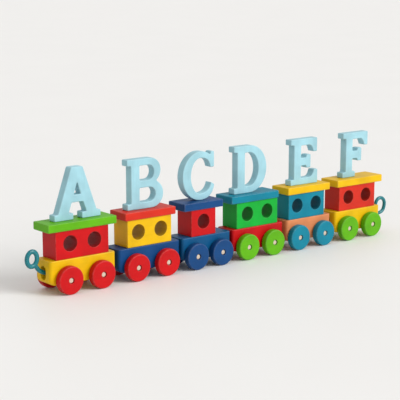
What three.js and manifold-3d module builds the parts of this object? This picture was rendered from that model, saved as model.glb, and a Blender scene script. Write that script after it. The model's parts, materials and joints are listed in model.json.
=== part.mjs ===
// A letter train: six wooden wagons on free-rolling wheels, hooked one behind the other.
// Millimetres, +Z up. The train lies along X with its pull eye at -X, and stands on z = 0.
import * as THREE from 'three';
import { mergeVertices } from 'three/addons/utils/BufferGeometryUtils.js';
import Module from 'manifold-3d';

const wasm = await Module();
wasm.setup();

// ---- driving dimensions -------------------------------------------------------------------

const WHEEL = { radius: 13, thickness: 6.9, bore: 2.8, edge: 0.9, sides: 20 };
const AXLE = { radius: 2.5, hole: 3.05, inset: 0.6 };
const CHASSIS = { width: 24, bottom: 8.7, top: 31.2, plan: 3, belly: 6, wheelGap: 0.4 };
const CABIN = { width: 22, height: 25.9, window: 7.25, windowLift: 0.9, windowSpacing: 26 };
const ROOF = { width: 25.4, thickness: 7.4 };
const LETTER = { height: 47.5, depth: 8.8, stem: 10, slab: 6, serif: 4.5 };
const SLOT = { width: 8, height: 12.6, depth: 11.6, centre: 19.2 };
const PIN = { radius: 1.5, hole: 1.85, depth: 6, height: 18.4, inset: 0.4, cover: 3, gap: 0.3 };
const HOOK = { wire: 1.4, bend: 3.3, tip: 5.5 };
const EYE = { wire: 2.2, halfWidth: 5.2, halfHeight: 6.7, reach: 11, height: 33.6, lean: 5 };
const REAR_HOOK = { wire: 1.9, bend: 6.9, reach: 13.6, height: 28.6, curl: 176 };

// One row for each wagon, front to back: its block, the distance of its axles, the gap behind it, its cabin
// and its roof. Shifts move the glued cabin and roof along the block.
const WAGONS = [
  { letter: 'A', length: 71, axles: 35, gap: 3.3, cabin: 57, cabinShift: 0, roof: 73.5, roofShift: 0 },
  { letter: 'B', length: 71.5, axles: 35, gap: 2.6, cabin: 51, cabinShift: 0.7, roof: 58.5, roofShift: 1.2 },
  { letter: 'C', length: 60.5, axles: 31, gap: 2.4, cabin: 30, cabinShift: -3.1, roof: 48, roofShift: -3.7 },
  { letter: 'D', length: 67.5, axles: 34, gap: 5, cabin: 54, cabinShift: -0.5, roof: 62, roofShift: -4.2 },
  { letter: 'E', length: 62, axles: 35, gap: 6.5, cabin: 50, cabinShift: -2.7, roof: 59, roofShift: -0.4 },
  { letter: 'F', length: 67.5, axles: 35, gap: 0, cabin: 53.5, cabinShift: 0, roof: 67, roofShift: 2.5 },
];

const PAINT = {
  lime: 0x6eb414,
  red: 0xd41c2a,
  orangeRed: 0xe13d2d,
  yellow: 0xebb914,
  navy: 0x1e4b96,
  blue: 0x00659c,
  green: 0x19b23c,
  cyan: 0x0a98b8,
  peach: 0xe67a4a,
  sky: 0xaad7e6,
};
const PAINTS = [
  { chassis: 'yellow', cabin: 'red', roof: 'lime', wheel: 'red' },
  { chassis: 'navy', cabin: 'yellow', roof: 'orangeRed', wheel: 'red' },
  { chassis: 'blue', cabin: 'red', roof: 'navy', wheel: 'navy' },
  { chassis: 'red', cabin: 'green', roof: 'cyan', wheel: 'lime' },
  { chassis: 'peach', cabin: 'cyan', roof: 'yellow', wheel: 'cyan' },
  { chassis: 'yellow', cabin: 'orangeRed', roof: 'yellow', wheel: 'lime' },
];
const TEAL = 0x007d87;
const STEEL = 0xa8a8a6;

// ---- materials and meshes -----------------------------------------------------------------

function paint(colour) {
  return new THREE.MeshStandardMaterial({ color: colour, roughness: 0.45, metalness: 0 });
}

function steel() {
  return new THREE.MeshStandardMaterial({ color: STEEL, roughness: 0.3, metalness: 1 });
}

function piece(name, geometry, material) {
  const mesh = new THREE.Mesh(geometry, material);
  mesh.name = name;
  return mesh;
}

// ---- joining and cutting ------------------------------------------------------------------

function toSolid(geometry) {
  const bare = geometry.clone();
  bare.deleteAttribute('normal');
  bare.deleteAttribute('uv');
  const merged = mergeVertices(bare, 1e-4);
  return new wasm.Manifold(new wasm.Mesh({
    numProp: 3,
    vertProperties: new Float32Array(merged.attributes.position.array),
    triVerts: new Uint32Array(merged.index.array),
  }));
}

function toGeometry(solid) {
  const { vertProperties, triVerts } = solid.getMesh();
  const geometry = new THREE.BufferGeometry();
  geometry.setAttribute('position', new THREE.BufferAttribute(vertProperties, 3));
  geometry.setIndex(new THREE.BufferAttribute(triVerts, 1));
  return geometry;
}

function join(geometries) {
  return toGeometry(geometries.map(toSolid).reduce((sum, next) => sum.add(next)));
}

// ---- shared shapes ------------------------------------------------------------------------

// An XZ outline made into a plate of the given depth, centred on the XZ plane.
function uprightPlate(shape, depth, curveSegments = 6) {
  const geometry = new THREE.ExtrudeGeometry(shape, { depth, curveSegments, bevelEnabled: false });
  return geometry.rotateX(Math.PI / 2).translate(0, depth / 2, 0);
}

// A cylinder along Y, with a flat side facing down.
function crossRod(radius, length, sides) {
  const rod = new THREE.CylinderGeometry(radius, radius, length, sides);
  return rod.rotateY(Math.PI / sides);
}

// A round wire along a route.
function wire(extrudePath, radius, steps) {
  const section = new THREE.Shape();
  section.absarc(0, 0, radius, 0, Math.PI * 2);
  return new THREE.ExtrudeGeometry(section, { steps, curveSegments: 4, extrudePath });
}

// A smooth curve through [x, z] points in the XZ plane.
function route(points) {
  const places = points.map(([x, z]) => new THREE.Vector3(x, 0, z));
  return new THREE.CatmullRomCurve3(places, false, 'centripetal');
}

// Points of a bend of the given radius, from one angle to another in degrees.
function bend(centreX, centreZ, radius, from, to, count = 6) {
  return Array.from({ length: count + 1 }, (_, i) => {
    const angle = THREE.MathUtils.degToRad(from + ((to - from) * i) / count);
    return [centreX + radius * Math.cos(angle), centreZ + radius * Math.sin(angle)];
  });
}

// ---- chassis, cabin and roof --------------------------------------------------------------

// Side view of the block: square at the top, round at the two lower ends.
function chassisSide(length) {
  const { bottom, top, belly } = CHASSIS;
  const half = length / 2;
  const side = new THREE.Shape();
  side.moveTo(-half, top);
  side.lineTo(-half, bottom + belly);
  side.absarc(-half + belly, bottom + belly, belly, Math.PI, Math.PI * 1.5);
  side.lineTo(half - belly, bottom);
  side.absarc(half - belly, bottom + belly, belly, Math.PI * 1.5, Math.PI * 2);
  side.lineTo(half, top);
  return uprightPlate(side, CHASSIS.width, 3);
}

// Plan view of the block: a rectangle with round corners.
function chassisPlan(length) {
  const { bottom, top, width, plan } = CHASSIS;
  const x = length / 2 - plan;
  const y = width / 2 - plan;
  const outline = new THREE.Shape();
  outline.absarc(x, y, plan, 0, Math.PI / 2);
  outline.absarc(-x, y, plan, Math.PI / 2, Math.PI);
  outline.absarc(-x, -y, plan, Math.PI, Math.PI * 1.5);
  outline.absarc(x, -y, plan, Math.PI * 1.5, Math.PI * 2);
  const depth = top - bottom;
  const block = new THREE.ExtrudeGeometry(outline, { depth, curveSegments: 3, bevelEnabled: false });
  return block.translate(0, 0, bottom);
}

// The upright slot in the end of the block at side -1 or +1, as a cutter.
function endSlot(length, side) {
  const { width, height, depth, centre } = SLOT;
  const overshoot = 2;
  const straight = (height - width) / 2;
  const outline = new THREE.Shape();
  outline.absarc(0, centre + straight, width / 2, 0, Math.PI);
  outline.absarc(0, centre - straight, width / 2, Math.PI, Math.PI * 2);
  const cutter = uprightPlate(outline, depth + overshoot, 4).rotateZ(Math.PI / 2);
  return cutter.translate(side * (length / 2 - (depth - overshoot) / 2), 0, 0);
}

function crossHole(radius, x, z, sides) {
  return crossRod(radius, CHASSIS.width + 2, sides).translate(x, 0, z);
}

// The hole that a coupling pin is pushed into from the +Y side. It stops short of the -Y side.
function pinHole() {
  const blindEnd = PIN.cover - PIN.gap - CHASSIS.width / 2;
  const openEnd = CHASSIS.width / 2 + 1;
  return crossRod(PIN.hole, openEnd - blindEnd, 12).translate(0, (openEnd + blindEnd) / 2, 0);
}

function chassis({ length, axles }) {
  let block = toSolid(chassisSide(length)).intersect(toSolid(chassisPlan(length)));
  for (const side of [-1, 1]) {
    block = block.subtract(toSolid(endSlot(length, side)));
    block = block.subtract(toSolid(crossHole(AXLE.hole, (side * axles) / 2, WHEEL.radius, 16)));
    const pinX = side * (length / 2 - PIN.depth);
    block = block.subtract(toSolid(pinHole().translate(pinX, 0, PIN.height)));
  }
  return toGeometry(block);
}

function windowCentres({ cabin, cabinShift }) {
  const half = CABIN.windowSpacing / 2;
  return cabin > CABIN.windowSpacing * 1.5 ? [cabinShift - half, cabinShift + half] : [cabinShift];
}

function cabin(wagon) {
  const left = wagon.cabinShift - wagon.cabin / 2;
  const right = wagon.cabinShift + wagon.cabin / 2;
  const bottom = CHASSIS.top;
  const top = bottom + CABIN.height;
  const wall = new THREE.Shape();
  wall.moveTo(left, bottom);
  wall.lineTo(right, bottom);
  wall.lineTo(right, top);
  wall.lineTo(left, top);
  for (const x of windowCentres(wagon)) {
    const hole = new THREE.Path();
    hole.absarc(x, (bottom + top) / 2 + CABIN.windowLift, CABIN.window, 0, Math.PI * 2);
    wall.holes.push(hole);
  }
  return uprightPlate(wall, CABIN.width, 10);
}

function roofTop() {
  return CHASSIS.top + CABIN.height + ROOF.thickness;
}

function roof(wagon) {
  const board = new THREE.BoxGeometry(wagon.roof, ROOF.width, ROOF.thickness);
  return board.translate(wagon.roofShift, 0, roofTop() - ROOF.thickness / 2);
}

// ---- letters: slab serif outlines, drawn from x = 0 on a baseline at z = 0 ------------------

// A step is a line [x, z], a curve [controlX, controlZ, x, z], or an elliptic arc
// [centreX, centreZ, radiusX, radiusZ, from, to] in degrees, clockwise if to is less than from.
function draw(path, [start, ...steps]) {
  path.moveTo(...start);
  for (const step of steps) {
    if (step.length === 2) path.lineTo(...step);
    if (step.length === 4) path.quadraticCurveTo(...step);
    if (step.length === 6) {
      const [x, z, radiusX, radiusZ, from, to] = step;
      const [a, b] = [from, to].map(THREE.MathUtils.degToRad);
      path.absellipse(x, z, radiusX, radiusZ, a, b, to < from, 0);
    }
  }
  return path;
}

const HEAD = LETTER.height;
const MIDDLE = HEAD / 2;
const STEM_LEFT = LETTER.serif;
const STEM_RIGHT = LETTER.serif + LETTER.stem;
const THIN = 7;

// The left side of a stem with its slabs, from the head down to the foot.
const STEM_SIDE = [
  [0, HEAD],
  [0, HEAD - LETTER.slab],
  [STEM_LEFT, HEAD - LETTER.slab],
  [STEM_LEFT, LETTER.slab],
  [0, LETTER.slab],
];
const MIDDLE_ARM = [
  [STEM_RIGHT, MIDDLE - 4],
  [21, MIDDLE - 4],
  [22.5, MIDDLE - THIN],
  [28, MIDDLE - THIN],
  [28, MIDDLE + THIN],
  [22.5, MIDDLE + THIN],
  [21, MIDDLE + 4],
  [STEM_RIGHT, MIDDLE + 4],
];
const TOP_ARM = [
  [STEM_RIGHT, HEAD - THIN],
  [25, HEAD - THIN],
  [30, HEAD - THIN, 31.5, HEAD - 14.5],
  [37, HEAD - 14.5],
  [37, HEAD],
];
const BOTTOM_ARM = [
  [0, 0],
  [38, 0],
  [38, 14.5],
  [32.5, 14.5],
  [31, THIN, 26, THIN],
  [STEM_RIGHT, THIN],
];

function letterA() {
  const width = 50;
  const barBottom = 15.5;
  const leftLeg = [
    [width / 2, barBottom],
    [19, barBottom],
    [15.6, LETTER.slab],
    [20.5, LETTER.slab],
    [20.5, 0],
    [0, 0],
    [0, LETTER.slab],
    [4, LETTER.slab],
    [18.7, HEAD],
    [width / 2, HEAD],
  ];
  const rightLeg = leftLeg.slice(1, -1).reverse().map(([x, z]) => [width - x, z]);
  const counter = [[21.3, 22.5], [28.7, 22.5], [width / 2, 33.5]];
  return { width, outline: [...leftLeg, ...rightLeg], counters: [counter] };
}

function letterB() {
  const bowls = [[28.5, 0], [28.5, 13, 13.5, 13, -90, 62], [27, 35.5, 12, 12, -55, 90]];
  const lower = [[STEM_RIGHT, 6.5], [26, 6.5], [26, 13.25, 6.5, 6.75, -90, 90], [STEM_RIGHT, 20]];
  const upper = [[STEM_RIGHT, 27], [25, 27], [25, 34, 6, 7, -90, 90], [STEM_RIGHT, 41]];
  return { width: 42, outline: [[0, 0], ...bowls, ...STEM_SIDE], counters: [lower, upper] };
}

function letterC() {
  const outline = [
    [39, 46.5],
    [39, 31],
    [34, 31],
    [33, 41, 22, 41],
    [22, MIDDLE, 11.5, 17.25, 90, 270],
    [33, 6.5, 35, 16.5],
    [39.5, 14],
    [37, 0, 22, 0],
    [22, MIDDLE, 22, MIDDLE, 270, 90],
    [29, HEAD, 34, 43.5],
    [35, 46.5],
  ];
  return { width: 39.5, outline, counters: [] };
}

function letterD() {
  const outline = [[0, 0], [21, 0], [21, MIDDLE, 22, MIDDLE, -90, 90], ...STEM_SIDE];
  const bowl = [20, MIDDLE, 12, MIDDLE - THIN, -90, 90];
  const counter = [[STEM_RIGHT, THIN], [20, THIN], bowl, [STEM_RIGHT, HEAD - THIN]];
  return { width: 43, outline, counters: [counter] };
}

function letterE() {
  return { width: 38, outline: [...BOTTOM_ARM, ...MIDDLE_ARM, ...TOP_ARM, ...STEM_SIDE], counters: [] };
}

function letterF() {
  const foot = [[0, 0], [19, 0], [19, LETTER.slab], [STEM_RIGHT, LETTER.slab]];
  return { width: 37, outline: [...foot, ...MIDDLE_ARM, ...TOP_ARM, ...STEM_SIDE], counters: [] };
}

const LETTERS = { A: letterA, B: letterB, C: letterC, D: letterD, E: letterE, F: letterF };

function letter(wagon) {
  const { width, outline, counters } = LETTERS[wagon.letter]();
  const shape = draw(new THREE.Shape(), outline);
  shape.holes = counters.map((counter) => draw(new THREE.Path(), counter));
  return uprightPlate(shape, LETTER.depth, 6).translate(wagon.roofShift - width / 2, 0, roofTop());
}

// ---- wheels and axles ---------------------------------------------------------------------

// The rim's polygon is drawn round the rolling circle, so a flat of it touches the ground.
function turned(profile) {
  const { sides } = WHEEL;
  const points = profile.map(([radius, y]) => new THREE.Vector2(radius, y));
  return new THREE.LatheGeometry(points, sides, Math.PI / sides);
}

const INNER_FACE = CHASSIS.width / 2 + CHASSIS.wheelGap;
const OUTER_FACE = INNER_FACE + WHEEL.thickness;
const RIM = WHEEL.radius / Math.cos(Math.PI / WHEEL.sides);

// The wheel on the -Y side, with a bore that the axle ends in.
function nearWheel() {
  const { bore, edge } = WHEEL;
  return turned([
    [bore, -OUTER_FACE],
    [RIM - edge, -OUTER_FACE],
    [RIM, edge - OUTER_FACE],
    [RIM, -INNER_FACE],
    [bore, -INNER_FACE],
    [bore, -OUTER_FACE],
  ]);
}

// The dowel and the wheel that is glued on its +Y end.
function axleWithFarWheel() {
  const { edge } = WHEEL;
  return turned([
    [0, AXLE.inset - OUTER_FACE],
    [AXLE.radius, AXLE.inset - OUTER_FACE],
    [AXLE.radius, INNER_FACE],
    [RIM, INNER_FACE],
    [RIM, OUTER_FACE - edge],
    [RIM - edge, OUTER_FACE],
    [0, OUTER_FACE],
  ]);
}

// ---- couplings, drawn about their pins with +X pointing out of the wagon's end --------------

// A pin for the wagon's front (side -1) or rear (side +1) end. It ends short of the -Y side's paint.
function crossPin(side) {
  const { radius, inset, cover } = PIN;
  const pin = crossRod(radius, CHASSIS.width - inset - cover, 12);
  return pin.translate(0, (side * (cover - inset)) / 2, 0);
}

// The hook between two wagons: it lies in their slots and bends round the next wagon's pin.
function innerHook(gap) {
  const span = 2 * PIN.depth + gap;
  const { bend: radius, tip } = HOOK;
  const points = [
    [0, 0],
    [2.5, -2],
    [6, -radius],
    [span - 4, -radius],
    ...bend(span, 0, radius, -90, 90),
    [span - tip, radius],
  ];
  return join([wire(route(points), HOOK.wire, 18), crossPin(1)]);
}

// The hook at the tail: it leaves the slot, stands up and bends back towards the block's end.
function rearHook() {
  const { bend: radius, reach, height, curl } = REAR_HOOK;
  const x = reach + PIN.depth;
  const z = height - PIN.height;
  const points = [
    [0, 0],
    [PIN.depth, 0.4],
    [x + radius - 6, 1],
    [x + radius - 1.6, 4],
    ...bend(x, z, radius, 0, curl),
  ];
  return join([wire(route(points), REAR_HOOK.wire, 24), crossPin(1)]);
}

// The ring that a child pulls the train by: an upright oval on a stem.
function pullEye() {
  const { wire: radius, halfWidth, halfHeight, reach, height, lean } = EYE;
  const x = reach + PIN.depth;
  const z = height - PIN.height;
  const outline = new THREE.Shape();
  outline.absellipse(0, 0, halfWidth + radius, halfHeight + radius, 0, Math.PI * 2);
  const hole = new THREE.Path();
  hole.absellipse(0, 0, halfWidth - radius, halfHeight - radius, 0, Math.PI * 2);
  outline.holes.push(hole);
  const ring = uprightPlate(outline, 2 * radius * 0.8, 10).rotateY(THREE.MathUtils.degToRad(-lean));
  const stem = route([[0, 0], [PIN.depth, 1.6], [PIN.depth + 4.2, 4.2], [x - 3, z - halfHeight + 0.9]]);
  return join([ring.translate(x, 0, z), wire(stem, radius - 0.2, 8), crossPin(-1)]);
}

// ---- assembly -----------------------------------------------------------------------------

const EYE_REACH = EYE.reach + EYE.halfWidth + EYE.wire;
const HOOK_REACH = REAR_HOOK.reach + REAR_HOOK.bend + REAR_HOOK.wire;
const TRAIN_LENGTH = WAGONS.reduce((sum, { length, gap }) => sum + length + gap, 0);

function wagonCentres() {
  let front = (EYE_REACH - HOOK_REACH - TRAIN_LENGTH) / 2;
  return WAGONS.map(({ length, gap }) => {
    const centre = front + length / 2;
    front += length + gap;
    return centre;
  });
}

// Puts a coupling's pin in the slot at the wagon's front (side -1) or rear (side +1) end.
function placeCoupling(mesh, wagon, side) {
  mesh.position.set(side * (wagon.length / 2 - PIN.depth), 0, PIN.height);
  mesh.rotation.z = side < 0 ? Math.PI : 0;
  return mesh;
}

function frontCoupling(number) {
  if (number === 1) return piece('pull_eye', pullEye(), paint(TEAL));
  return piece(`coupling_pin_${number}`, crossPin(-1), steel());
}

function rearCoupling(number, { gap }) {
  if (number === WAGONS.length) return piece('rear_hook', rearHook(), paint(TEAL));
  return piece(`coupling_hook_${number}`, innerHook(gap), paint(TEAL));
}

function buildWheels(wagon, number, colour) {
  return [['front', -1], ['rear', 1]].flatMap(([end, side]) => {
    const wheel = piece(`${end}_wheel_near_${number}`, nearWheel(), paint(colour));
    const axle = piece(`${end}_axle_far_wheel_${number}`, axleWithFarWheel(), paint(colour));
    for (const mesh of [wheel, axle]) {
      mesh.position.set((side * wagon.axles) / 2, 0, WHEEL.radius);
    }
    return [wheel, axle];
  });
}

function buildWagon(wagon, index) {
  const number = index + 1;
  const colours = PAINTS[index];
  const group = new THREE.Group();
  group.add(
    piece(`chassis_${number}`, chassis(wagon), paint(PAINT[colours.chassis])),
    piece(`cabin_${number}`, cabin(wagon), paint(PAINT[colours.cabin])),
    piece(`roof_${number}`, roof(wagon), paint(PAINT[colours.roof])),
    piece(`letter_${number}`, letter(wagon), paint(PAINT.sky)),
    ...buildWheels(wagon, number, PAINT[colours.wheel]),
    placeCoupling(frontCoupling(number), wagon, -1),
    placeCoupling(rearCoupling(number, wagon), wagon, 1),
  );
  return group;
}

const train = new THREE.Group();
const centres = wagonCentres();
WAGONS.forEach((wagon, index) => {
  const group = buildWagon(wagon, index);
  group.position.x = centres[index];
  train.add(group);
});

export default train;
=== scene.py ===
"""The looks of a wooden letter train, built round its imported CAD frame.

Every CAD node is replaced by finished pieces of the same size in the same place: painted blocks with
soft edges, turned wheels on dowels, moulded hooks and the steel pins that hold them. Outlines and
section sizes are in millimetres, and places come from the frame in metres.
"""

import json
import math

import bpy
from mathutils import Matrix, Vector
from mathutils.geometry import tessellate_polygon


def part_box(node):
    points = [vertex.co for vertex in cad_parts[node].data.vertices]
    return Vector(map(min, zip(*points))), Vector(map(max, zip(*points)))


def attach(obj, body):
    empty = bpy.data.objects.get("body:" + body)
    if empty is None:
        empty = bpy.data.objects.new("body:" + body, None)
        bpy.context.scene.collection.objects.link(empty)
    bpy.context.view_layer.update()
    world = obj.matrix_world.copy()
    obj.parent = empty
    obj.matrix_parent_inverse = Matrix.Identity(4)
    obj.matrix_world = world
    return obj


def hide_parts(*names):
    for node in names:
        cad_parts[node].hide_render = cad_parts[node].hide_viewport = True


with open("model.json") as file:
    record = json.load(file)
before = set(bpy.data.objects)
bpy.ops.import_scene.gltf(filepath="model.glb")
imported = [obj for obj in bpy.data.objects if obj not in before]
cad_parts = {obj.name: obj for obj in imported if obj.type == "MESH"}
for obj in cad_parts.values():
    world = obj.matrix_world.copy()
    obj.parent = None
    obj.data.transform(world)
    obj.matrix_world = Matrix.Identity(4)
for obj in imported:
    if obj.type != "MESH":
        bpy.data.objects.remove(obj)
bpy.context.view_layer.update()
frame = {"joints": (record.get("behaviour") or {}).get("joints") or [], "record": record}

MM = 0.001
WAGONS = range(1, 7)
SLOT_OF = {part["node"]: part["material_slot"] for part in frame["record"]["subparts"]}
JOINTS = {joint["name"]: joint for joint in frame["joints"]}
OPENINGS = {opening["name"]: opening["box_m"] for opening in frame["record"]["physics"]["openings"]}

# Section sizes, in millimetres. Angles are in degrees.
ROUND = {"letter": 0.9, "roof": 0.9, "cabin": 0.6, "window": 0.45, "chassis": 0.8}
WINDOW_RADIUS = 7.25
CHASSIS = {"plan": 3, "belly": 6}
END_SLOT = {"width": 8, "height": 12.6, "depth": 11.6, "centre": 19.2, "mouth": 0.7}
HOLE = {"axle": 3.05, "pin": 1.85}
WHEEL = {"bore": 2.8, "edge": 1.3, "bore_edge": 0.35}
DOWEL = {"radius": 2.5, "edge": 0.8, "recess": 1.1}
PIN = {"radius": 1.5, "edge": 0.35, "depth": 6, "inset": 0.4, "cover": 3, "gap": 0.3}
EYE = {"wire": 2.2, "half_width": 5.2, "half_height": 6.7, "reach": 11, "height": 33.6, "lean": 5}
EYE_RING_FLATNESS = 0.84
EYE_STEM_WIRE = 2
REAR_HOOK = {"wire": 1.9, "bend": 6.9, "reach": 13.6, "height": 28.6, "curl": 176}
INNER_HOOK = {"wire": 1.4, "bend": 3.3, "tip": 5.5}
HUB = {"radius": 2.9, "width": 4.6, "edge": 0.6}

# How finely the pieces are made. Lengths are in millimetres.
POINT_SPACING = 0.45  # along an arc
SHORTEST_SIDE = 1e-4
LONGEST_STRAIGHT = 5  # between two points of a softened outline
STRAIGHT_TURN = math.radians(1.2)  # a point that turns its outline by less is left out
POINTS_IN_A_RADIUS = 3  # along an outline that is about to be softened
SOFTENING_PASSES = 14
WEAR_AND_SHEEN_RADIUS = 0.7  # a corner as tight as this is fully worn and fully lightened with painted sheen
SHARP_ANGLE = math.radians(35)  # an edge of a cut block that turns by more stays sharp
MOULD = {"voxel": 0.24, "polish": 0.5, "passes": 6}
OVERSHOOT = 1  # of a cutter, past the face that it cuts
HAIR = 0.01  # stands for nothing where a rim or a side needs some size


# ---- outlines: closed lists of points, anticlockwise round the material and clockwise round a hole ---


def arc(x, z, radius_x, radius_z, start, end):
    """Points of an elliptic arc, from one angle to another in degrees."""
    length = math.radians(abs(end - start)) * max(radius_x, radius_z)
    count = max(4, round(length / POINT_SPACING))
    turns = [math.radians(start + (end - start) * i / count) for i in range(count + 1)]
    return [Vector((x + radius_x * math.cos(t), z + radius_z * math.sin(t))) for t in turns]


def bent(start, control, end, count=20):
    """Points of a quadratic curve, without its start."""
    shares = [i / count for i in range(1, count + 1)]
    return [start.lerp(control, s).lerp(control.lerp(end, s), s) for s in shares]


def draw(steps):
    """A step is a line (x, z), a curve (control x, control z, x, z), or an arc as arc() takes it."""
    points = []
    for step in steps:
        if len(step) == 2:
            points.append(Vector(step))
        elif len(step) == 4:
            points += bent(points[-1], Vector(step[:2]), Vector(step[2:]))
        else:
            points += arc(*step)
    return points


def neighbours(points):
    """(the point before, the point, the point after) all round a closed outline."""
    return list(zip(points[-1:] + points[:-1], points, points[1:] + points[:1]))


def softened(points, radius):
    """The outline with its corners rounded to about that radius, and few points on its straights."""
    fine = []
    for _, a, b in neighbours(points):
        length = (b - a).length
        steps = max(1, round(POINTS_IN_A_RADIUS * length / radius))
        if length > SHORTEST_SIDE:
            fine += [a.lerp(b, i / steps) for i in range(steps)]
    for _ in range(SOFTENING_PASSES):
        fine = [(a + 2 * b + c) / 4 for a, b, c in neighbours(fine)]
    kept = [fine[0]]
    for _, point, after in neighbours(fine)[1:]:
        stretch = point - kept[-1]
        if stretch.angle(after - point) > STRAIGHT_TURN or stretch.length > LONGEST_STRAIGHT:
            kept.append(point)
    return kept


def rectangle(width, height):
    """A rectangle about the origin."""
    x, z = width / 2, height / 2
    return [Vector((-x, -z)), Vector((x, -z)), Vector((x, z)), Vector((-x, z))]


def round_rectangle(width, height, radius):
    """A rectangle about the origin, with quarter circles for corners."""
    x, z = width / 2 - radius, height / 2 - radius
    ends = [(x, -z, -90), (x, z, 0), (-x, z, 90), (-x, -z, 180)]
    return [p for cx, cz, start in ends for p in arc(cx, cz, radius, radius, start, start + 90)]


def circle(x, z, radius):
    """A hole's outline."""
    return arc(x, z, radius, radius, 360, 0)[:-1]


def corners(points):
    """For each point: its outward mitre, its smooth outward normal, and how sharp the outline is."""
    found = []
    for a, b, c in neighbours(points):
        into, out = b - a, c - b
        before, after = (Vector((side.y, -side.x)).normalized() for side in (into, out))
        mitre = (before + after) / (1 + before.dot(after))
        smooth = (before * into.length + after * out.length).normalized()
        curvature = 2 * before.angle(after) / (into.length + out.length)
        found.append((mitre, smooth, min(1, WEAR_AND_SHEEN_RADIUS * curvature)))
    return found


# ---- places: matrices from an outline's plane, in millimetres, to the frame --------------------------


def upright(origin):
    """The outline stands in the XZ plane, and its third axis points to -Y."""
    return Matrix.Translation(origin) @ Matrix.Rotation(math.pi / 2, 4, "X") @ Matrix.Scale(MM, 4)


def lying(origin):
    """The outline lies in the XY plane, and its third axis points up."""
    return Matrix.Translation(origin) @ Matrix.Scale(MM, 4)


def endways(origin, side):
    """The outline stands in the YZ plane, and its third axis points to -X or +X."""
    turn = Matrix.Rotation(side * math.pi / 2, 4, "Z")
    stand = Matrix.Rotation(math.pi / 2, 4, "X")
    return Matrix.Translation(origin) @ turn @ stand @ Matrix.Scale(MM, 4)


# ---- meshes ------------------------------------------------------------------------------------------


def piece_of(name, mesh):
    """An object of that mesh, in the scene."""
    piece = bpy.data.objects.new(name, mesh)
    bpy.context.scene.collection.objects.link(piece)
    return piece


def smooth_piece(name, place, verts, faces, normals, wear_and_sheen):
    """A smooth piece with its own normals, and the wear and painted sheen of its edges as a point
    attribute.
    """
    mesh = bpy.data.meshes.new(name)
    mesh.from_pydata([place @ Vector(v) for v in verts], [], faces)
    mesh.polygons.foreach_set("use_smooth", [True] * len(faces))
    spin = place.to_3x3().normalized()
    mesh.normals_split_custom_set_from_vertices([(spin @ Vector(n)).normalized() for n in normals])
    mesh.attributes.new("wear_and_sheen", "FLOAT", "POINT").data.foreach_set("value", wear_and_sheen)
    return piece_of(name, mesh)


def quarter(steps=4):
    """Angles of a quarter turn."""
    return [math.pi / 2 * i / steps for i in range(steps + 1)]


def rim_levels(depth, radius):
    """Levels of a slab with rounded rims, from its top to its bottom: see loft()."""
    top = []
    for t in quarter():
        top.append((radius * (1 - math.sin(t)), depth / 2 - radius * (1 - math.cos(t)), 0, t, 1))
    return top + [(inset, -height, shift, t, -1) for inset, height, shift, t, _ in reversed(top)]


def loft(name, outlines, levels, place):
    """A closed piece of rings, one for each level of each outline, with a flat cap at each end.
    A level is how far the outline is drawn in, its height, how far its ends are pulled in along X,
    and the tilt and side of its normal: 0 faces along the axis, and a quarter turn faces outwards."""
    verts, faces, normals, wear_and_sheen = [], [], [], []
    caps = ([], [])
    for points, rings in zip(outlines, levels):
        first, count = len(verts), len(points)
        for inset, height, shift, tilt, side in rings:
            for point, (mitre, smooth, sharp) in zip(points, corners(points)):
                x, z = point - mitre * inset
                verts.append((x - math.copysign(shift, x), z, height))
                normals.append((*(smooth * math.sin(tilt)), side * math.cos(tilt)))
                wear_and_sheen.append(max(math.sin(2 * tilt), sharp if tilt else 0))
        for start in range(first, len(verts) - count, count):
            for i in range(count):
                j = (i + 1) % count
                faces.append((start + i, start + count + i, start + count + j, start + j))
        caps[0].append(range(first, first + count))
        caps[1].append(range(len(verts) - count, len(verts)))
    for cap, side in zip(caps, (1, -1)):
        index = [i for ring in cap for i in ring]
        flat = [[Vector((*verts[i][:2], 0)) for i in ring] for ring in cap]
        for triangle in tessellate_polygon(flat):
            a, b, c = (Vector(verts[index[i]]) for i in triangle)
            order = triangle if (b - a).cross(c - a).z * side > 0 else reversed(triangle)
            faces.append(tuple(index[i] for i in order))
    return smooth_piece(name, place, verts, faces, normals, wear_and_sheen)


def slab(name, outlines, depth, rims, place):
    """A flat piece of that depth, with the rim of each outline rounded."""
    return loft(name, outlines, [rim_levels(depth, rim) for rim in rims], place)


def turned(name, profile, place, sides=64):
    """A piece turned from an anticlockwise profile of (radius, height): closed, or ended on the axis."""
    verts, faces, normals, wear_and_sheen, rings = [], [], [], [], []
    shape = corners(profile)
    for (radius, height), (_, smooth, sharp) in zip(profile, shape):
        on_axis = radius < 1e-6
        ring = []
        for i in range(1 if on_axis else sides):
            turn = 2 * math.pi * i / sides
            ring.append(len(verts))
            verts.append((radius * math.cos(turn), radius * math.sin(turn), height))
            out = 0 if on_axis else smooth.x
            normals.append((out * math.cos(turn), out * math.sin(turn), smooth.y))
            wear_and_sheen.append(sharp)
        rings.append(ring * sides if on_axis else ring)
    for ring, above in zip(rings, rings[1:] + rings[:1]):
        for i in range(sides):
            j = (i + 1) % sides
            corner = list(dict.fromkeys((ring[i], ring[j], above[j], above[i])))
            if len(corner) > 2:
                faces.append(corner)
    return smooth_piece(name, place, verts, faces, normals, wear_and_sheen)


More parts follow.
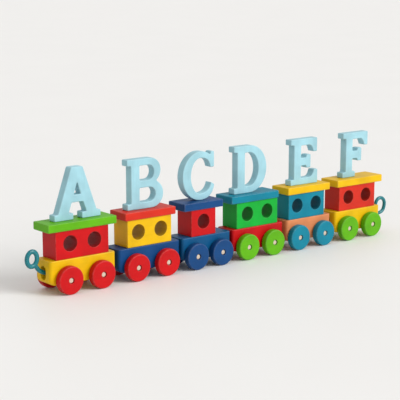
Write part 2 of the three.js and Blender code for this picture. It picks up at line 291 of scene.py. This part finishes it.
def tube(name, path, radius, place, closed=False, flatness=1.0):
    """A round wire along a path in the outline's plane: a closed ring, or a length with domed ends.
    Flatness is its thickness across the plane as a share of its width."""
    sides = 20
    if closed:
        stations = [(b, (c - a).normalized(), 1) for a, b, c in neighbours(path)]
    else:
        ahead = path[1:] + [2 * path[-1] - path[-2]]
        behind = [2 * path[0] - path[1]] + path[:-1]
        middle = [(p, (c - a).normalized(), 1) for a, p, c in zip(behind, path, ahead)]
        dome = [math.radians(angle) for angle in (80, 60, 40, 20)]
        first, last = middle[0][1], middle[-1][1]
        start = [(path[0] - first * radius * math.sin(a), first, math.cos(a)) for a in dome]
        end = [(path[-1] + last * radius * math.sin(a), last, math.cos(a)) for a in dome]
        stations = start + middle + end[::-1]
    verts, faces, normals = [], [], []
    for spot, ahead, share in stations:
        side = Vector((ahead.y, -ahead.x, 0))
        for i in range(sides):
            turn = 2 * math.pi * i / sides
            out = side * math.cos(turn) + Vector((0, 0, flatness * math.sin(turn)))
            verts.append(spot.to_3d() + out * radius * share)
            normals.append(out)
    count = len(stations)
    for k in range(count if closed else count - 1):
        low, high = k * sides, (k + 1) % count * sides
        for i in range(sides):
            j = (i + 1) % sides
            faces.append((low + i, high + i, high + j, low + j))
    if not closed:
        faces.append(tuple(range(sides)))
        faces.append(tuple(reversed(range((count - 1) * sides, count * sides))))
    return smooth_piece(name, place, verts, faces, normals, [0] * len(verts))


def applied(piece, weighted_normals=True):
    """The piece with its modifiers applied and smooth shading. Weighted normals keep flats flat."""
    graph = bpy.context.evaluated_depsgraph_get()
    mesh = bpy.data.meshes.new_from_object(piece.evaluated_get(graph))
    piece.modifiers.clear()
    piece.data = mesh
    mesh.polygons.foreach_set("use_smooth", [True] * len(mesh.polygons))
    if weighted_normals:
        mesh.set_sharp_from_angle(angle=SHARP_ANGLE)
        weighted = piece.modifiers.new("normals", "WEIGHTED_NORMAL")
        weighted.keep_sharp = True
    return piece


def merged(name, parts):
    """Several closed parts moulded into one smooth piece."""
    verts, faces = [], []
    for part in parts:
        first = len(verts)
        verts += [v.co.copy() for v in part.data.vertices]
        faces += [[first + i for i in polygon.vertices] for polygon in part.data.polygons]
        bpy.data.objects.remove(part)
    mesh = bpy.data.meshes.new(name)
    mesh.from_pydata(verts, [], faces)
    piece = piece_of(name, mesh)
    remesh = piece.modifiers.new("mould", "REMESH")
    remesh.mode = "VOXEL"
    remesh.voxel_size = MOULD["voxel"] * MM
    smooth = piece.modifiers.new("polish", "SMOOTH")
    smooth.factor = MOULD["polish"]
    smooth.iterations = MOULD["passes"]
    return applied(piece, weighted_normals=False)


# ---- materials ---------------------------------------------------------------------------------------


def add(tree, kind, inputs=None, **settings):
    """A shader node. An input is a plain value, or the output socket that feeds it."""
    shader_node = tree.nodes.new(kind)
    for key, value in settings.items():
        setattr(shader_node, key, value)
    for key, value in (inputs or {}).items():
        if isinstance(value, bpy.types.NodeSocket):
            tree.links.new(value, shader_node.inputs[key])
        else:
            shader_node.inputs[key].default_value = value
    return shader_node


def noise(tree, stretch, detail=2, roughness=0.5):
    """A noise in 0 to 1 whose features come that many times in a metre, along each axis."""
    place = add(tree, "ShaderNodeTexCoord").outputs["Object"]
    scaled = add(tree, "ShaderNodeMapping", {"Vector": place, "Scale": stretch}).outputs["Vector"]
    settings = {"Vector": scaled, "Scale": 1, "Detail": detail, "Roughness": roughness}
    return add(tree, "ShaderNodeTexNoise", settings).outputs["Fac"]


def attribute(tree, name):
    """A value stored on the mesh, or 0 where the mesh has none."""
    stored = add(tree, "ShaderNodeAttribute", attribute_name=name, attribute_type="GEOMETRY")
    return stored.outputs["Fac"]


def span(tree, value, low, high, to_low=0, to_high=1):
    """The value, spread from one range to another and held inside it."""
    sockets = {"Value": value, "From Min": low, "From Max": high, "To Min": to_low, "To Max": to_high}
    return add(tree, "ShaderNodeMapRange", sockets).outputs["Result"]


def maths(tree, operation, a, b):
    """The sum or product of two values."""
    return add(tree, "ShaderNodeMath", {0: a, 1: b}, operation=operation).outputs["Value"]


def blend(tree, share, a, b):
    """A colour between two others: all a at a share of 0, and all b at 1."""
    return add(tree, "ShaderNodeMix", {0: share, 6: a, 7: b}, data_type="RGBA").outputs[2]


def opaque(colour):
    """The colour with full alpha."""
    return (*colour, 1)


def shader(material, colour, roughness, height, bump, **constants):
    """Finishes a material from what feeds its colour, its roughness and the height of its bump."""
    tree = material.node_tree
    bumps = {"Height": height, "Strength": bump, "Distance": MM}
    normal = add(tree, "ShaderNodeBump", bumps).outputs["Normal"]
    sockets = {"Base Color": colour, "Roughness": roughness, "Normal": normal, **constants}
    surface = add(tree, "ShaderNodeBsdfPrincipled", sockets)
    output = add(tree, "ShaderNodeOutputMaterial", {"Surface": surface.outputs["BSDF"]})
    output.is_active_output = True
    return material


def new_material(name):
    """An empty material and its node tree."""
    material = bpy.data.materials.new(name)
    material.use_nodes = True
    material.node_tree.nodes.clear()
    return material, material.node_tree


PAINTS = {
    "lime_paint": (0.100, 0.38, 0.003),
    "red_paint": (0.50, 0.002, 0.004),
    "orange_red_paint": (0.56, 0.022, 0.009),
    "yellow_paint": (0.72, 0.43, 0.001),
    "navy_paint": (0.003, 0.052, 0.18),
    "blue_paint": (0.001, 0.078, 0.205),
    "green_paint": (0.003, 0.38, 0.034),
    "cyan_paint": (0.001, 0.195, 0.285),
    "peach_paint": (0.66, 0.235, 0.095),
    "sky_paint": (0.32, 0.56, 0.63),
}
# The paint's roughness from cloud to cloud, and how much its other layers show: the grain, the painted
# shade in the window bores, and the edges' wear with painted sheen.
PAINT = {"roughness": (0.36, 0.46), "grain": 0.16, "bore_shade": 0.55, "rubbing_and_sheen": 0.4, "bump": 0.09}
PAINT_SPECULAR = 0.16
RUBBED_ROUGHNESS = 0.12
# How often grain lines come in a metre along X, Y and Z, for each way the grain of a piece can run.
GRAINS = {"lengthways": (35, 700, 700), "upright": (700, 700, 35)}


def painted_wood(slot, grain):
    """Satin paint that lets a little of the grain through. Its edges are rubbed thin and lightened, partly
    by wear and partly by painted sheen, and its window bores are darkened with painted shade.
    """
    name = f"{slot}_{grain}"
    if name in bpy.data.materials:
        return bpy.data.materials[name]
    material, tree = new_material(name)
    base = Vector(PAINTS[slot])
    lines = noise(tree, GRAINS[grain], detail=3, roughness=0.6)
    clouds = noise(tree, (55, 55, 55))
    speckle = noise(tree, (1600, 1600, 1600), detail=1)
    chips = noise(tree, (420, 420, 420), detail=3, roughness=0.65)
    deep, bright, grain_line = (opaque(base * share) for share in (0.86, 1.08, 0.6))
    # A very dark tone, for the painted shade on the walls of the window bores.
    bore_shade_colour = opaque(base * 0.3 + Vector((0.012, 0.008, 0.006)))
    # A lighter tone for the edges, standing partly for wear and partly for painted sheen.
    rubbed_and_sheen_colour = opaque(base * 0.7 + Vector((0.20, 0.18, 0.16)))
    colour = blend(tree, span(tree, clouds, 0.3, 0.7), deep, bright)
    colour = blend(tree, span(tree, lines, 0.52, 0.72, 0, PAINT["grain"]), colour, grain_line)
    # Painted shade: the walls of the window bores are darkened towards that very dark tone.
    painted_bore_shade = maths(tree, "MULTIPLY", attribute(tree, "painted_bore_shade"), PAINT["bore_shade"])
    colour = blend(tree, painted_bore_shade, colour, bore_shade_colour)
    # Painted sheen with wear: the rounded edges are lightened where the chips noise lets it through.
    edge_wear_and_sheen = attribute(tree, "wear_and_sheen")
    rubbed_and_sheen = maths(tree, "MULTIPLY", edge_wear_and_sheen, span(tree, chips, 0.38, 0.66, 0.12, 1))
    colour = blend(tree, maths(tree, "MULTIPLY", rubbed_and_sheen, PAINT["rubbing_and_sheen"]), colour, rubbed_and_sheen_colour)
    satin = span(tree, clouds, 0.25, 0.75, *PAINT["roughness"])
    roughness = maths(tree, "ADD", satin, maths(tree, "MULTIPLY", rubbed_and_sheen, RUBBED_ROUGHNESS))
    height = maths(tree, "ADD", maths(tree, "MULTIPLY", lines, 0.6), maths(tree, "MULTIPLY", speckle, 0.25))
    specular = {"Specular IOR Level": PAINT_SPECULAR}
    return shader(material, colour, roughness, height, PAINT["bump"], **specular)


def bare_wood():
    """The sanded beech of the dowels, whose grain and pores run along Y."""
    material, tree = new_material("sanded_beech")
    lines = noise(tree, (900, 60, 900), detail=3, roughness=0.7)
    pores = noise(tree, (2600, 120, 2600), detail=2)
    dark, light, pore = opaque((0.50, 0.38, 0.28)), opaque((0.70, 0.60, 0.49)), opaque((0.33, 0.19, 0.10))
    colour = blend(tree, span(tree, lines, 0.35, 0.65), dark, light)
    colour = blend(tree, span(tree, pores, 0.58, 0.75, 0, 0.5), colour, pore)
    roughness = span(tree, lines, 0.3, 0.7, 0.5, 0.62)
    return shader(material, colour, roughness, maths(tree, "ADD", lines, pores), 0.15)


def teal_plastic():
    """Smooth moulded plastic with a faint orange peel."""
    material, tree = new_material("moulded_teal")
    clouds = noise(tree, (130, 130, 130))
    peel = noise(tree, (900, 900, 900), detail=1)
    dark, light = opaque((0.0, 0.135, 0.165)), opaque((0.0, 0.185, 0.215))
    colour = blend(tree, span(tree, clouds, 0.3, 0.7), dark, light)
    roughness = span(tree, peel, 0.3, 0.7, 0.24, 0.33)
    return shader(material, colour, roughness, peel, 0.04)


def steel_pin():
    """Drawn steel wire, with fine lines along Y."""
    material, tree = new_material("drawn_steel")
    lines = noise(tree, (2200, 60, 2200), detail=2)
    dark, light = opaque((0.42, 0.42, 0.41)), opaque((0.60, 0.60, 0.59))
    colour = blend(tree, span(tree, lines, 0.3, 0.7), dark, light)
    roughness = span(tree, lines, 0.3, 0.7, 0.22, 0.38)
    return shader(material, colour, roughness, lines, 0.08, Metallic=1)


BARE_WOOD = bare_wood()
TEAL = teal_plastic()
STEEL = steel_pin()


def ready(piece, body, material, slot, *nodes):
    """Finishes a piece: its material, the body it moves with and the CAD nodes that it stands for."""
    piece.data.materials.clear()
    piece.data.materials.append(material)
    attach(piece, body)
    if nodes:
        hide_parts(*nodes)
    return piece


def ready_painted(piece, body, node, grain="lengthways"):
    """Finishes a piece that has the paint of the CAD node that it stands for."""
    return ready(piece, body, painted_wood(SLOT_OF[node], grain), SLOT_OF[node], node)


def middle(node):
    """The centre of a node's box, in metres."""
    low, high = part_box(node)
    return (low + high) / 2


def size_of(node):
    """Length, width and height in millimetres."""
    low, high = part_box(node)
    return (high - low) / MM


# ---- wagons ------------------------------------------------------------------------------------------


def chassis_levels(height):
    """Levels of the block: a rounded rim at the top and the bottom, and rounded lower ends."""
    rim, belly = ROUND["chassis"], CHASSIS["belly"]
    top, bottom = height / 2, -height / 2

    def drawn_in(past, radius):
        """How far a rounding of that radius has drawn in, at a height that far past its start."""
        share = min(1, max(0, past / radius))
        return radius * (1 - math.sqrt(1 - share * share))

    # The heights are rounded because the rim and the belly share the lowest one.
    heights = {round(top - rim * (1 - math.cos(t)), 4) for t in quarter()}
    heights |= {round(bottom + rim * (1 - math.cos(t)), 4) for t in quarter()}
    heights |= {round(bottom + belly * (1 - math.cos(t)), 4) for t in quarter(9)}
    levels = []
    for z in sorted(heights, reverse=True):
        inset = drawn_in(z - (top - rim), rim) + drawn_in(bottom + rim - z, rim)
        shift = drawn_in(bottom + belly - z, belly)
        levels.append((min(inset, rim), z, shift, math.pi / 2, 1))
    return levels


def slot_cutter(origin, side):
    """The upright slot of an end, with a rounded mouth, to cut from the block."""
    width, height, depth, mouth = (END_SLOT[key] for key in ("width", "height", "depth", "mouth"))
    outline = round_rectangle(width, height, width / 2 - HAIR)
    levels = [(-mouth, OVERSHOOT, 0, 0, 1), (-mouth, 0, 0, 0, 1)]
    levels += [(-mouth * (1 - math.sin(t)), -mouth * (1 - math.cos(t)), 0, 0, 1) for t in quarter()[1:]]
    levels.append((0, -depth, 0, 0, 1))
    return loft("cutter", [outline], [levels], endways(origin, side))


def hole_cutter(radius, origin, low, high):
    """A round hole along Y, between two places in millimetres from the origin."""
    middle_of_hole = origin + Vector((0, (low + high) / 2 * MM, 0))
    return slab("cutter", [circle(0, 0, radius)[::-1]], high - low, [HAIR], upright(middle_of_hole))


def build_chassis(number):
    """A block with a slot in each end, bored for its axles from side to side and for its pins from +Y."""
    node = f"chassis_{number}"
    centre, (length, width, height) = middle(node), size_of(node)
    ground = Vector((centre.x, 0, 0))
    plan = round_rectangle(length, width, CHASSIS["plan"])
    block = loft(node + "_block", [plan], [chassis_levels(height)], lying(centre))
    pin_height = JOINTS["pull_eye_swing"]["pos_m"][2]
    past = width / 2 + OVERSHOOT
    cutters = []
    for side, end in ((-1, "front"), (1, "rear")):
        face = ground + Vector((side * length / 2 * MM, 0, END_SLOT["centre"] * MM))
        cutters.append(slot_cutter(face, side))
        axle = Vector(JOINTS[f"{end}_wheels_spin_{number}"]["pos_m"])
        cutters.append(hole_cutter(HOLE["axle"], axle, -past, past))
        pin = Vector((face.x - side * PIN["depth"] * MM, 0, pin_height))
        cutters.append(hole_cutter(HOLE["pin"], pin, PIN["cover"] - PIN["gap"] - width / 2, past))
    for cutter in cutters:
        cut = block.modifiers.new("cut", "BOOLEAN")
        cut.operation = "DIFFERENCE"
        cut.solver = "EXACT"
        cut.object = cutter
    applied(block)
    for cutter in cutters:
        bpy.data.objects.remove(cutter)
    mark_wear_and_sheen_rims(block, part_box(node))
    return ready_painted(block, f"wagon_{number}", node)


def mark_wear_and_sheen_rims(piece, box):
    """Marks the top and bottom rims of a block for wear and painted sheen."""
    low, high = box
    rim = ROUND["chassis"] * MM
    wear_and_sheen = []
    for vertex in piece.data.vertices:
        past = max(vertex.co.z - (high.z - rim), low.z + rim - vertex.co.z, 0) / rim
        wear_and_sheen.append(math.sin(2 * math.acos(min(1, past))))
    piece.data.attributes["wear_and_sheen"].data.foreach_set("value", wear_and_sheen)


def mark_bore_shade(piece, windows):
    """Marks the walls of the windows, where the paint is darkened as painted shade."""
    painted_bore_shade = []
    for vertex in piece.data.vertices:
        reaches = [(vertex.co - window).xz.length for window in windows]
        painted_bore_shade.append(1 if min(reaches) < (WINDOW_RADIUS + ROUND["window"] / 4) * MM else 0)
    piece.data.attributes.new("painted_bore_shade", "FLOAT", "POINT").data.foreach_set("value", painted_bore_shade)


def build_cabin(number):
    """A block with a window bored at each of its openings."""
    node = f"cabin_{number}"
    centre, (length, width, height) = middle(node), size_of(node)
    outlines, rims, windows = [softened(rectangle(length, height), ROUND["cabin"])], [ROUND["cabin"]], []
    for name, (low, high) in OPENINGS.items():
        if name.startswith(f"window_{number}_"):
            window = (Vector(low) + Vector(high)) / 2
            x, _, z = (window - centre) / MM
            outlines.append(circle(x, z, WINDOW_RADIUS))
            rims.append(ROUND["window"])
            windows.append(window)
    cabin = slab(node + "_block", outlines, width, rims, upright(centre))
    mark_bore_shade(cabin, windows)
    return ready_painted(cabin, f"wagon_{number}", node)


def build_roof(number):
    """A flat board."""
    node = f"roof_{number}"
    length, width, height = size_of(node)
    board = softened(rectangle(length, width), ROUND["roof"])
    roof = slab(node + "_board", [board], height, [ROUND["roof"]], lying(middle(node)))
    return ready_painted(roof, f"wagon_{number}", node)


# ---- letters: slab serif outlines from x = 0, on a baseline at z = 0 ---------------------------------

# The top and the middle of a letter, and how thick a serif and an arm are.
HEAD, MIDDLE, SLAB, THIN = 47.5, 23.75, 6, 7
STEM_LEFT, STEM_RIGHT = 4.5, 14.5
STEM_SIDE = [(0, HEAD), (0, HEAD - SLAB), (STEM_LEFT, HEAD - SLAB), (STEM_LEFT, SLAB), (0, SLAB)]
MIDDLE_ARM = [
    (STEM_RIGHT, MIDDLE - 4), (21, MIDDLE - 4), (22.5, MIDDLE - THIN), (28, MIDDLE - THIN),
    (28, MIDDLE + THIN), (22.5, MIDDLE + THIN), (21, MIDDLE + 4), (STEM_RIGHT, MIDDLE + 4),
]
TOP_ARM = [
    (STEM_RIGHT, HEAD - THIN), (25, HEAD - THIN), (30, HEAD - THIN, 31.5, HEAD - 14.5),
    (37, HEAD - 14.5), (37, HEAD),
]
BOTTOM_ARM = [(0, 0), (38, 0), (38, 14.5), (32.5, 14.5), (31, THIN, 26, THIN), (STEM_RIGHT, THIN)]
FOOT = [(0, 0), (19, 0), (19, SLAB), (STEM_RIGHT, SLAB)]
A_LEG = [
    (25, 15.5), (19, 15.5), (15.6, SLAB), (20.5, SLAB), (20.5, 0), (0, 0), (0, SLAB), (4, SLAB),
    (18.7, HEAD), (25, HEAD),
]
C_OUTLINE = [
    (39, 46.5), (39, 31), (34, 31), (33, 41, 22, 41), (22, MIDDLE, 11.5, 17.25, 90, 270),
    (33, 6.5, 35, 16.5), (39.5, 14), (37, 0, 22, 0), (22, MIDDLE, 22, MIDDLE, 270, 90),
    (29, HEAD, 34, 43.5), (35, 46.5),
]
# For each wagon, the letter's outline and then its counters.
LETTERS = [
    [A_LEG + [(50 - x, z) for x, z in reversed(A_LEG[1:-1])], [(21.3, 22.5), (28.7, 22.5), (25, 33.5)]],
    [
        [(0, 0), (28.5, 0), (28.5, 13, 13.5, 13, -90, 62), (27, 35.5, 12, 12, -55, 90), *STEM_SIDE],
        [(STEM_RIGHT, 6.5), (26, 6.5), (26, 13.25, 6.5, 6.75, -90, 90), (STEM_RIGHT, 20)],
        [(STEM_RIGHT, 27), (25, 27), (25, 34, 6, 7, -90, 90), (STEM_RIGHT, 41)],
    ],
    [C_OUTLINE],
    [
        [(0, 0), (21, 0), (21, MIDDLE, 22, MIDDLE, -90, 90), *STEM_SIDE],
        [
            (STEM_RIGHT, THIN), (20, THIN), (20, MIDDLE, 12, MIDDLE - THIN, -90, 90),
            (STEM_RIGHT, HEAD - THIN),
        ],
    ],
    [BOTTOM_ARM + MIDDLE_ARM + TOP_ARM + STEM_SIDE],
    [FOOT + MIDDLE_ARM + TOP_ARM + STEM_SIDE],
]


def is_anticlockwise(points):
    """Whether the closed outline turns that way, from the sign of its area."""
    return sum(a.cross(b) for _, a, b in neighbours(points)) > 0


def build_letter(number):
    """An upright board in the shape of the wagon's letter."""
    node = f"letter_{number}"
    low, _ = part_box(node)
    soft = ROUND["letter"]
    outlines = []
    for steps in LETTERS[number - 1]:
        points = softened(draw(steps), soft)
        is_outer = not outlines
        outlines.append(points if is_anticlockwise(points) == is_outer else points[::-1])
    place = upright(Vector((low.x, middle(node).y, low.z)))
    letter = slab(node + "_board", outlines, size_of(node).y, [soft] * len(outlines), place)
    return ready_painted(letter, f"wagon_{number}", node, "upright")


# ---- wheels and axles --------------------------------------------------------------------------------


def build_wheel(name, body, centre, thickness, radius, slot, *nodes):
    """A disc with a rounded rim and a bore."""
    edge, bore, soft, half = WHEEL["edge"], WHEEL["bore"], WHEEL["bore_edge"], thickness / 2
    profile = arc(bore + soft, soft - half, soft, soft, 180, 270)
    profile += arc(radius - edge, edge - half, edge, edge, -90, 0)
    profile += arc(radius - edge, half - edge, edge, edge, 0, 90)
    profile += arc(bore + soft, half - soft, soft, soft, 90, 180)
    wheel = turned(name, profile, upright(centre))
    return ready(wheel, body, painted_wood(slot, "lengthways"), slot, *nodes)


def build_wheel_pair(number, end):
    """Two wheels and their dowel, which show as three pieces of one body."""
    near_node, far_node = f"{end}_wheel_near_{number}", f"{end}_axle_far_wheel_{number}"
    body, slot = f"{end}_wheels_{number}", SLOT_OF[near_node]
    near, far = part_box(near_node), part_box(far_node)
    axis = Vector(JOINTS[f"{end}_wheels_spin_{number}"]["pos_m"])
    thickness = size_of(near_node).y
    radius = axis.z / MM
    half = thickness / 2 * MM
    near_middle = Vector((axis.x, near[0].y + half, axis.z))
    far_middle = Vector((axis.x, far[1].y - half, axis.z))
    build_wheel(near_node + "_disc", body, near_middle, thickness, radius, slot, near_node)
    build_wheel(f"{end}_wheel_far_{number}_disc", body, far_middle, thickness, radius, slot, far_node)
    reach = far[1].y / MM - DOWEL["recess"]
    dowel, soft = DOWEL["radius"], DOWEL["edge"]
    profile = [Vector((0, -reach))] + arc(dowel - soft, soft - reach, soft, soft, -90, 0)
    profile += arc(dowel - soft, reach - soft, soft, soft, 0, 90) + [Vector((0, reach))]
    axle = turned(f"{end}_axle_{number}_dowel", profile, upright(axis), sides=32)
    ready(axle, body, BARE_WOOD, "bare_wood", far_node)


# ---- couplings, drawn about their pins with +X pointing out of the wagon's end -----------------------


def build_pin(name, body, centre, width, *nodes):
    """A cross pin, pushed in from the +Y side of a block of that width."""
    radius, soft, half = PIN["radius"], PIN["edge"], (width - PIN["inset"] - PIN["cover"]) / 2
    profile = [Vector((0, -half))] + arc(radius - soft, soft - half, soft, soft, -90, 0)
    profile += arc(radius - soft, half - soft, soft, soft, 0, 90) + [Vector((0, half))]
    place = upright(centre + Vector((0, (PIN["cover"] - PIN["inset"]) / 2 * MM, 0)))
    return ready(turned(name, profile, place, sides=24), body, STEEL, "steel_pin", *nodes)


def flowing(points, count=7):
    """A smooth path through a few (x, z) points: a centripetal spline."""
    points = [Vector(p) for p in points]
    ends = [2 * points[0] - points[1]] + points + [2 * points[-1] - points[-2]]
    path = []
    for a, b, c, d in zip(ends, ends[1:], ends[2:], ends[3:]):
        ab, bc, cd = (math.sqrt((q - p).length) for p, q in ((a, b), (b, c), (c, d)))
        leave = (c - b) / bc - (c - a) / (ab + bc) + (b - a) / ab
        arrive = (d - c) / cd - (d - b) / (bc + cd) + (c - b) / bc
        for i in range(count):
            s = i / count
            keep = 2 * s**3 - 3 * s**2 + 1
            path.append(
                b * keep + c * (1 - keep)
                + leave * bc * (s**3 - 2 * s**2 + s) + arrive * bc * (s**3 - s**2)
            )
    return path + [points[-1]]


def bend(x, z, radius, start, end, count=8):
    """Points of a circular arc for flowing(), from one angle to another in degrees."""
    turns = [math.radians(start + (end - start) * i / count) for i in range(count + 1)]
    return [(x + radius * math.cos(t), z + radius * math.sin(t)) for t in turns]


def hub(place):
    """The boss round the cross pin."""
    outline = circle(0, 0, HUB["radius"])[::-1]
    return slab("hub", [outline], HUB["width"], [HUB["edge"]], place)


def facing(origin, side):
    """The place of a coupling whose +X points out of the end on that side."""
    turn = Matrix.Rotation(0 if side > 0 else math.pi, 4, "Z")
    return Matrix.Translation(origin) @ turn @ upright(Vector((0, 0, 0)))


def build_hook(name, body, origin, path, wire, *nodes):
    """A hook at the rear of a wagon, along a path that starts at its pin."""
    place = facing(origin, 1)
    parts = [tube("wire", flowing(path), wire, place), hub(place)]
    return ready(merged(name, parts), body, TEAL, "teal_plastic", *nodes)


def build_inner_hook(number):
    """The hook at the rear of a wagon, which lies in both slots and bends round the next wagon's pin."""
    node, body = f"coupling_hook_{number}", f"wagon_{number}"
    wire, radius, tip = (INNER_HOOK[key] for key in ("wire", "bend", "tip"))
    next_pin = Vector(JOINTS[f"coupling_turn_{number + 1}"]["pos_m"])
    own_pin = Vector((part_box(f"chassis_{number}")[1].x - PIN["depth"] * MM, 0, next_pin.z))
    reach = (next_pin.x - own_pin.x) / MM
    path = [(0, 0), (2.5, -2), (6, -radius), (reach - 4, -radius), *bend(reach, 0, radius, -90, 90)]
    path.append((reach - tip, radius))
    build_hook(node + "_moulding", body, own_pin, path, wire, node)
    width = size_of(f"chassis_{number}").y
    build_pin(node + "_pin", body, own_pin, width, node)
    next_node = f"coupling_pin_{number + 1}"
    build_pin(next_node + "_rod", f"wagon_{number + 1}", next_pin, width, next_node)


def build_rear_hook():
    """The hook at the tail, which runs out of its slot and curls up and back."""
    wire, radius, curl = (REAR_HOOK[key] for key in ("wire", "bend", "curl"))
    pin = Vector(JOINTS["rear_hook_swing"]["pos_m"])
    x, z = REAR_HOOK["reach"] + PIN["depth"], REAR_HOOK["height"] - pin.z / MM
    out = x + radius
    path = [(0, 0), (PIN["depth"], 0.4), (out - 6, 1), (out - 1.6, 4), *bend(x, z, radius, 0, curl)]
    build_hook("rear_hook_moulding", "rear_hook", pin, path, wire, "rear_hook")
    build_pin("rear_hook_pin", "rear_hook", pin, size_of("chassis_6").y, "rear_hook")


def build_pull_eye():
    """The upright ring at the head, on a stem that rises from its slot."""
    wire, wide, tall = (EYE[key] for key in ("wire", "half_width", "half_height"))
    pin = Vector(JOINTS["pull_eye_swing"]["pos_m"])
    place = facing(pin, -1)
    x, z = EYE["reach"] + PIN["depth"], EYE["height"] - pin.z / MM
    lean = Matrix.Rotation(math.radians(EYE["lean"]), 2)
    ring = [lean @ p + Vector((x, z)) for p in arc(0, 0, wide, tall, 0, 360)[:-1]]
    stem = flowing([(0, 0), (PIN["depth"], 1.6), (PIN["depth"] + 4.2, 4.2), (x - 3, z - tall + 0.9)])
    parts = [tube("ring", ring, wire, place, closed=True, flatness=EYE_RING_FLATNESS)]
    parts.append(tube("stem", stem, EYE_STEM_WIRE, place))
    moulding = merged("pull_eye_moulding", [*parts, hub(place)])
    ready(moulding, "pull_eye", TEAL, "teal_plastic", "pull_eye")
    build_pin("pull_eye_pin", "pull_eye", pin, size_of("chassis_1").y, "pull_eye")


for wagon in WAGONS:
    build_chassis(wagon)
    build_cabin(wagon)
    build_roof(wagon)
    build_letter(wagon)
    build_wheel_pair(wagon, "front")
    build_wheel_pair(wagon, "rear")
    if wagon < WAGONS[-1]:
        build_inner_hook(wagon)
build_pull_eye()
build_rear_hook()


# ---- floor, lights and camera ------------------------------------------------------------------------

FLOOR_HALF = 12
FLOOR_COLOURS = opaque((0.80, 0.79, 0.775)), opaque((0.83, 0.82, 0.805))
SUN = {"energy": 2.35, "spread": 32, "azimuth": 30, "elevation": 30}
SKY = {"colour": opaque((1, 0.995, 0.985)), "strength": 0.74}
CAMERA = {"sensor": 36, "lens": 116.1, "shift": 0.0623, "azimuth": -38.99, "elevation": 12.01}
CAMERA_TARGET = Vector((-0.0320, 0, 0.039))
CAMERA_DISTANCE = 1.2552


def build_floor():
    """A plain pale floor, much wider than any view of the train."""
    mesh = bpy.data.meshes.new("floor")
    square = [corner.to_3d() for corner in rectangle(2 * FLOOR_HALF, 2 * FLOOR_HALF)]
    mesh.from_pydata(square, [], [(0, 1, 2, 3)])
    floor = piece_of("floor", mesh)
    material, tree = new_material("floor")
    mottle = noise(tree, (6, 6, 6))
    colour = blend(tree, mottle, *FLOOR_COLOURS)
    mesh.materials.append(shader(material, colour, span(tree, mottle, 0, 1, 0.5, 0.6), mottle, 0.01))


def aim(thing, target):
    """Turns a lamp or camera to look at a point."""
    thing.rotation_euler = (Vector(target) - thing.location).to_track_quat("-Z", "Y").to_euler()


def direction(azimuth, elevation):
    """The unit vector towards a place seen at that azimuth and elevation, as the camera's angles go."""
    a, e = math.radians(azimuth), math.radians(elevation)
    return Vector((math.sin(a) * math.cos(e), -math.cos(a) * math.cos(e), math.sin(e)))


def build_key_light():
    """A very soft sun, like a wide window at the front right."""
    light = bpy.data.lights.new("key", "SUN")
    light.energy = SUN["energy"]
    light.angle = math.radians(SUN["spread"])
    lamp = bpy.data.objects.new("key", light)
    bpy.context.scene.collection.objects.link(lamp)
    lamp.location = direction(SUN["azimuth"], SUN["elevation"])
    aim(lamp, (0, 0, 0))


def build_surroundings():
    """An even, faintly warm light from all round."""
    world = bpy.data.worlds.new("studio")
    world.use_nodes = True
    background = world.node_tree.nodes["Background"]
    background.inputs["Color"].default_value = SKY["colour"]
    background.inputs["Strength"].default_value = SKY["strength"]
    bpy.context.scene.world = world


def build_camera():
    """A long lens that looks along the train from its head, a little from above."""
    camera = bpy.data.cameras.new("camera")
    camera.sensor_width = CAMERA["sensor"]
    camera.lens = CAMERA["lens"]
    camera.shift_y = CAMERA["shift"]
    holder = bpy.data.objects.new("camera", camera)
    bpy.context.scene.collection.objects.link(holder)
    towards = direction(CAMERA["azimuth"], CAMERA["elevation"])
    holder.location = CAMERA_TARGET + towards * CAMERA_DISTANCE
    aim(holder, CAMERA_TARGET)
    bpy.context.scene.camera = holder


build_floor()
build_surroundings()
build_key_light()
build_camera()
bpy.context.scene.view_settings.view_transform = "Standard"
